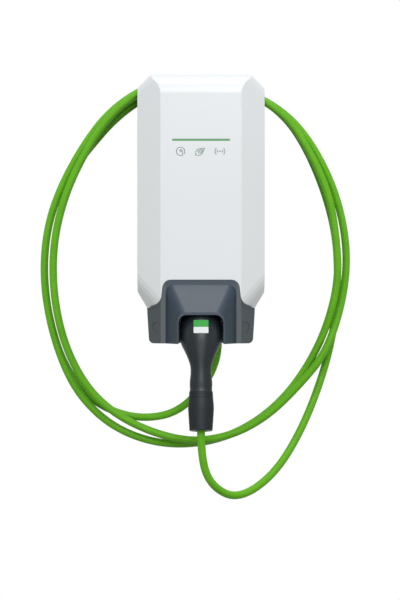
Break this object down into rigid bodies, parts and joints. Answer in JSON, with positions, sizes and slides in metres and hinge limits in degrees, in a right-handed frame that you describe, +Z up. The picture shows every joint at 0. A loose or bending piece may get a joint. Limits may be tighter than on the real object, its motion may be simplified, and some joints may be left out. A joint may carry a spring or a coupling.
{
  "type": "wall-mounted vehicle charging station",
  "caption": "Wall charging box with a faceted cover, a hooded dock below for its connector, and a charging cable coiled over the shelf behind the cover.",
  "frame": {"origin": "centre of the four wall screws, on the wall's face", "axes": "+Z up, +Y into the wall, so the front looks along -Y, +X to the right seen from the front"},
  "size_m": [0.5092, 0.1718, 0.6843],
  "materials": {
    "cover_white": "satin moulded plastic",
    "light_green": "clear tinted light guide",
    "housing_grey": "moulded plastic",
    "holder_grey": "fine moulded grain",
    "connector_black": "fine moulded grain",
    "label_green": "blank two-colour plate",
    "sleeve_rubber": "soft matte rubber",
    "cable_green": "smooth cable jacket",
    "seal_rubber": "soft rubber",
    "gland_black": "moulded nylon",
    "contact_silver": "silver plated",
    "screw_steel": "zinc plated",
    "lid_grey": "moulded plastic",
    "board_green": "solder mask",
    "part_black": "moulded epoxy",
    "part_grey": "moulded plastic",
    "can_aluminium": "sleeved can"
  },
  "bodies": {
    "root": {"front_cover": "cover_white", "light_bar": "light_green", "rear_housing": "housing_grey", "connector_holder": "holder_grey", "holder_screw_caps": "holder_grey", "parking_cup": "connector_black", "connector_shell": "connector_black", "connector_label": "label_green", "grip_sleeve": "sleeve_rubber", "cable_seal": "seal_rubber", "face_insert": "connector_black", "power_contacts": "contact_silver", "signal_contacts": "contact_silver", "charging_cable": "cable_green", "cable_tail": "cable_green", "bend_relief": "seal_rubber", "cable_gland_body": "gland_black", "cable_gland_lock_nut": "gland_black", "cable_gland_nut": "gland_black", "supply_gland_body": "gland_black", "supply_gland_lock_nut": "gland_black", "supply_gland_nut": "gland_black", "supply_gland_plug": "seal_rubber", "pressure_vent": "gland_black", "lid_seal": "seal_rubber", "inner_lid": "lid_grey", "lid_screws": "screw_steel", "cover_screws": "screw_steel", "holder_screws": "screw_steel", "cover_board_screws": "screw_steel", "main_board_screws": "screw_steel", "clamp_screws": "screw_steel", "cable_clamp": "part_grey", "clamp_seat": "housing_grey", "main_board": "board_green", "indicator_board": "board_green", "card_reader_antenna": "board_green", "control_module": "can_aluminium", "power_relay_left": "part_black", "power_relay_right": "part_black", "power_supply": "part_grey", "capacitors": "can_aluminium", "residual_current_sensor": "part_black", "supply_terminals": "part_grey", "cable_terminals": "part_grey"}
  },
  "joints": []
}
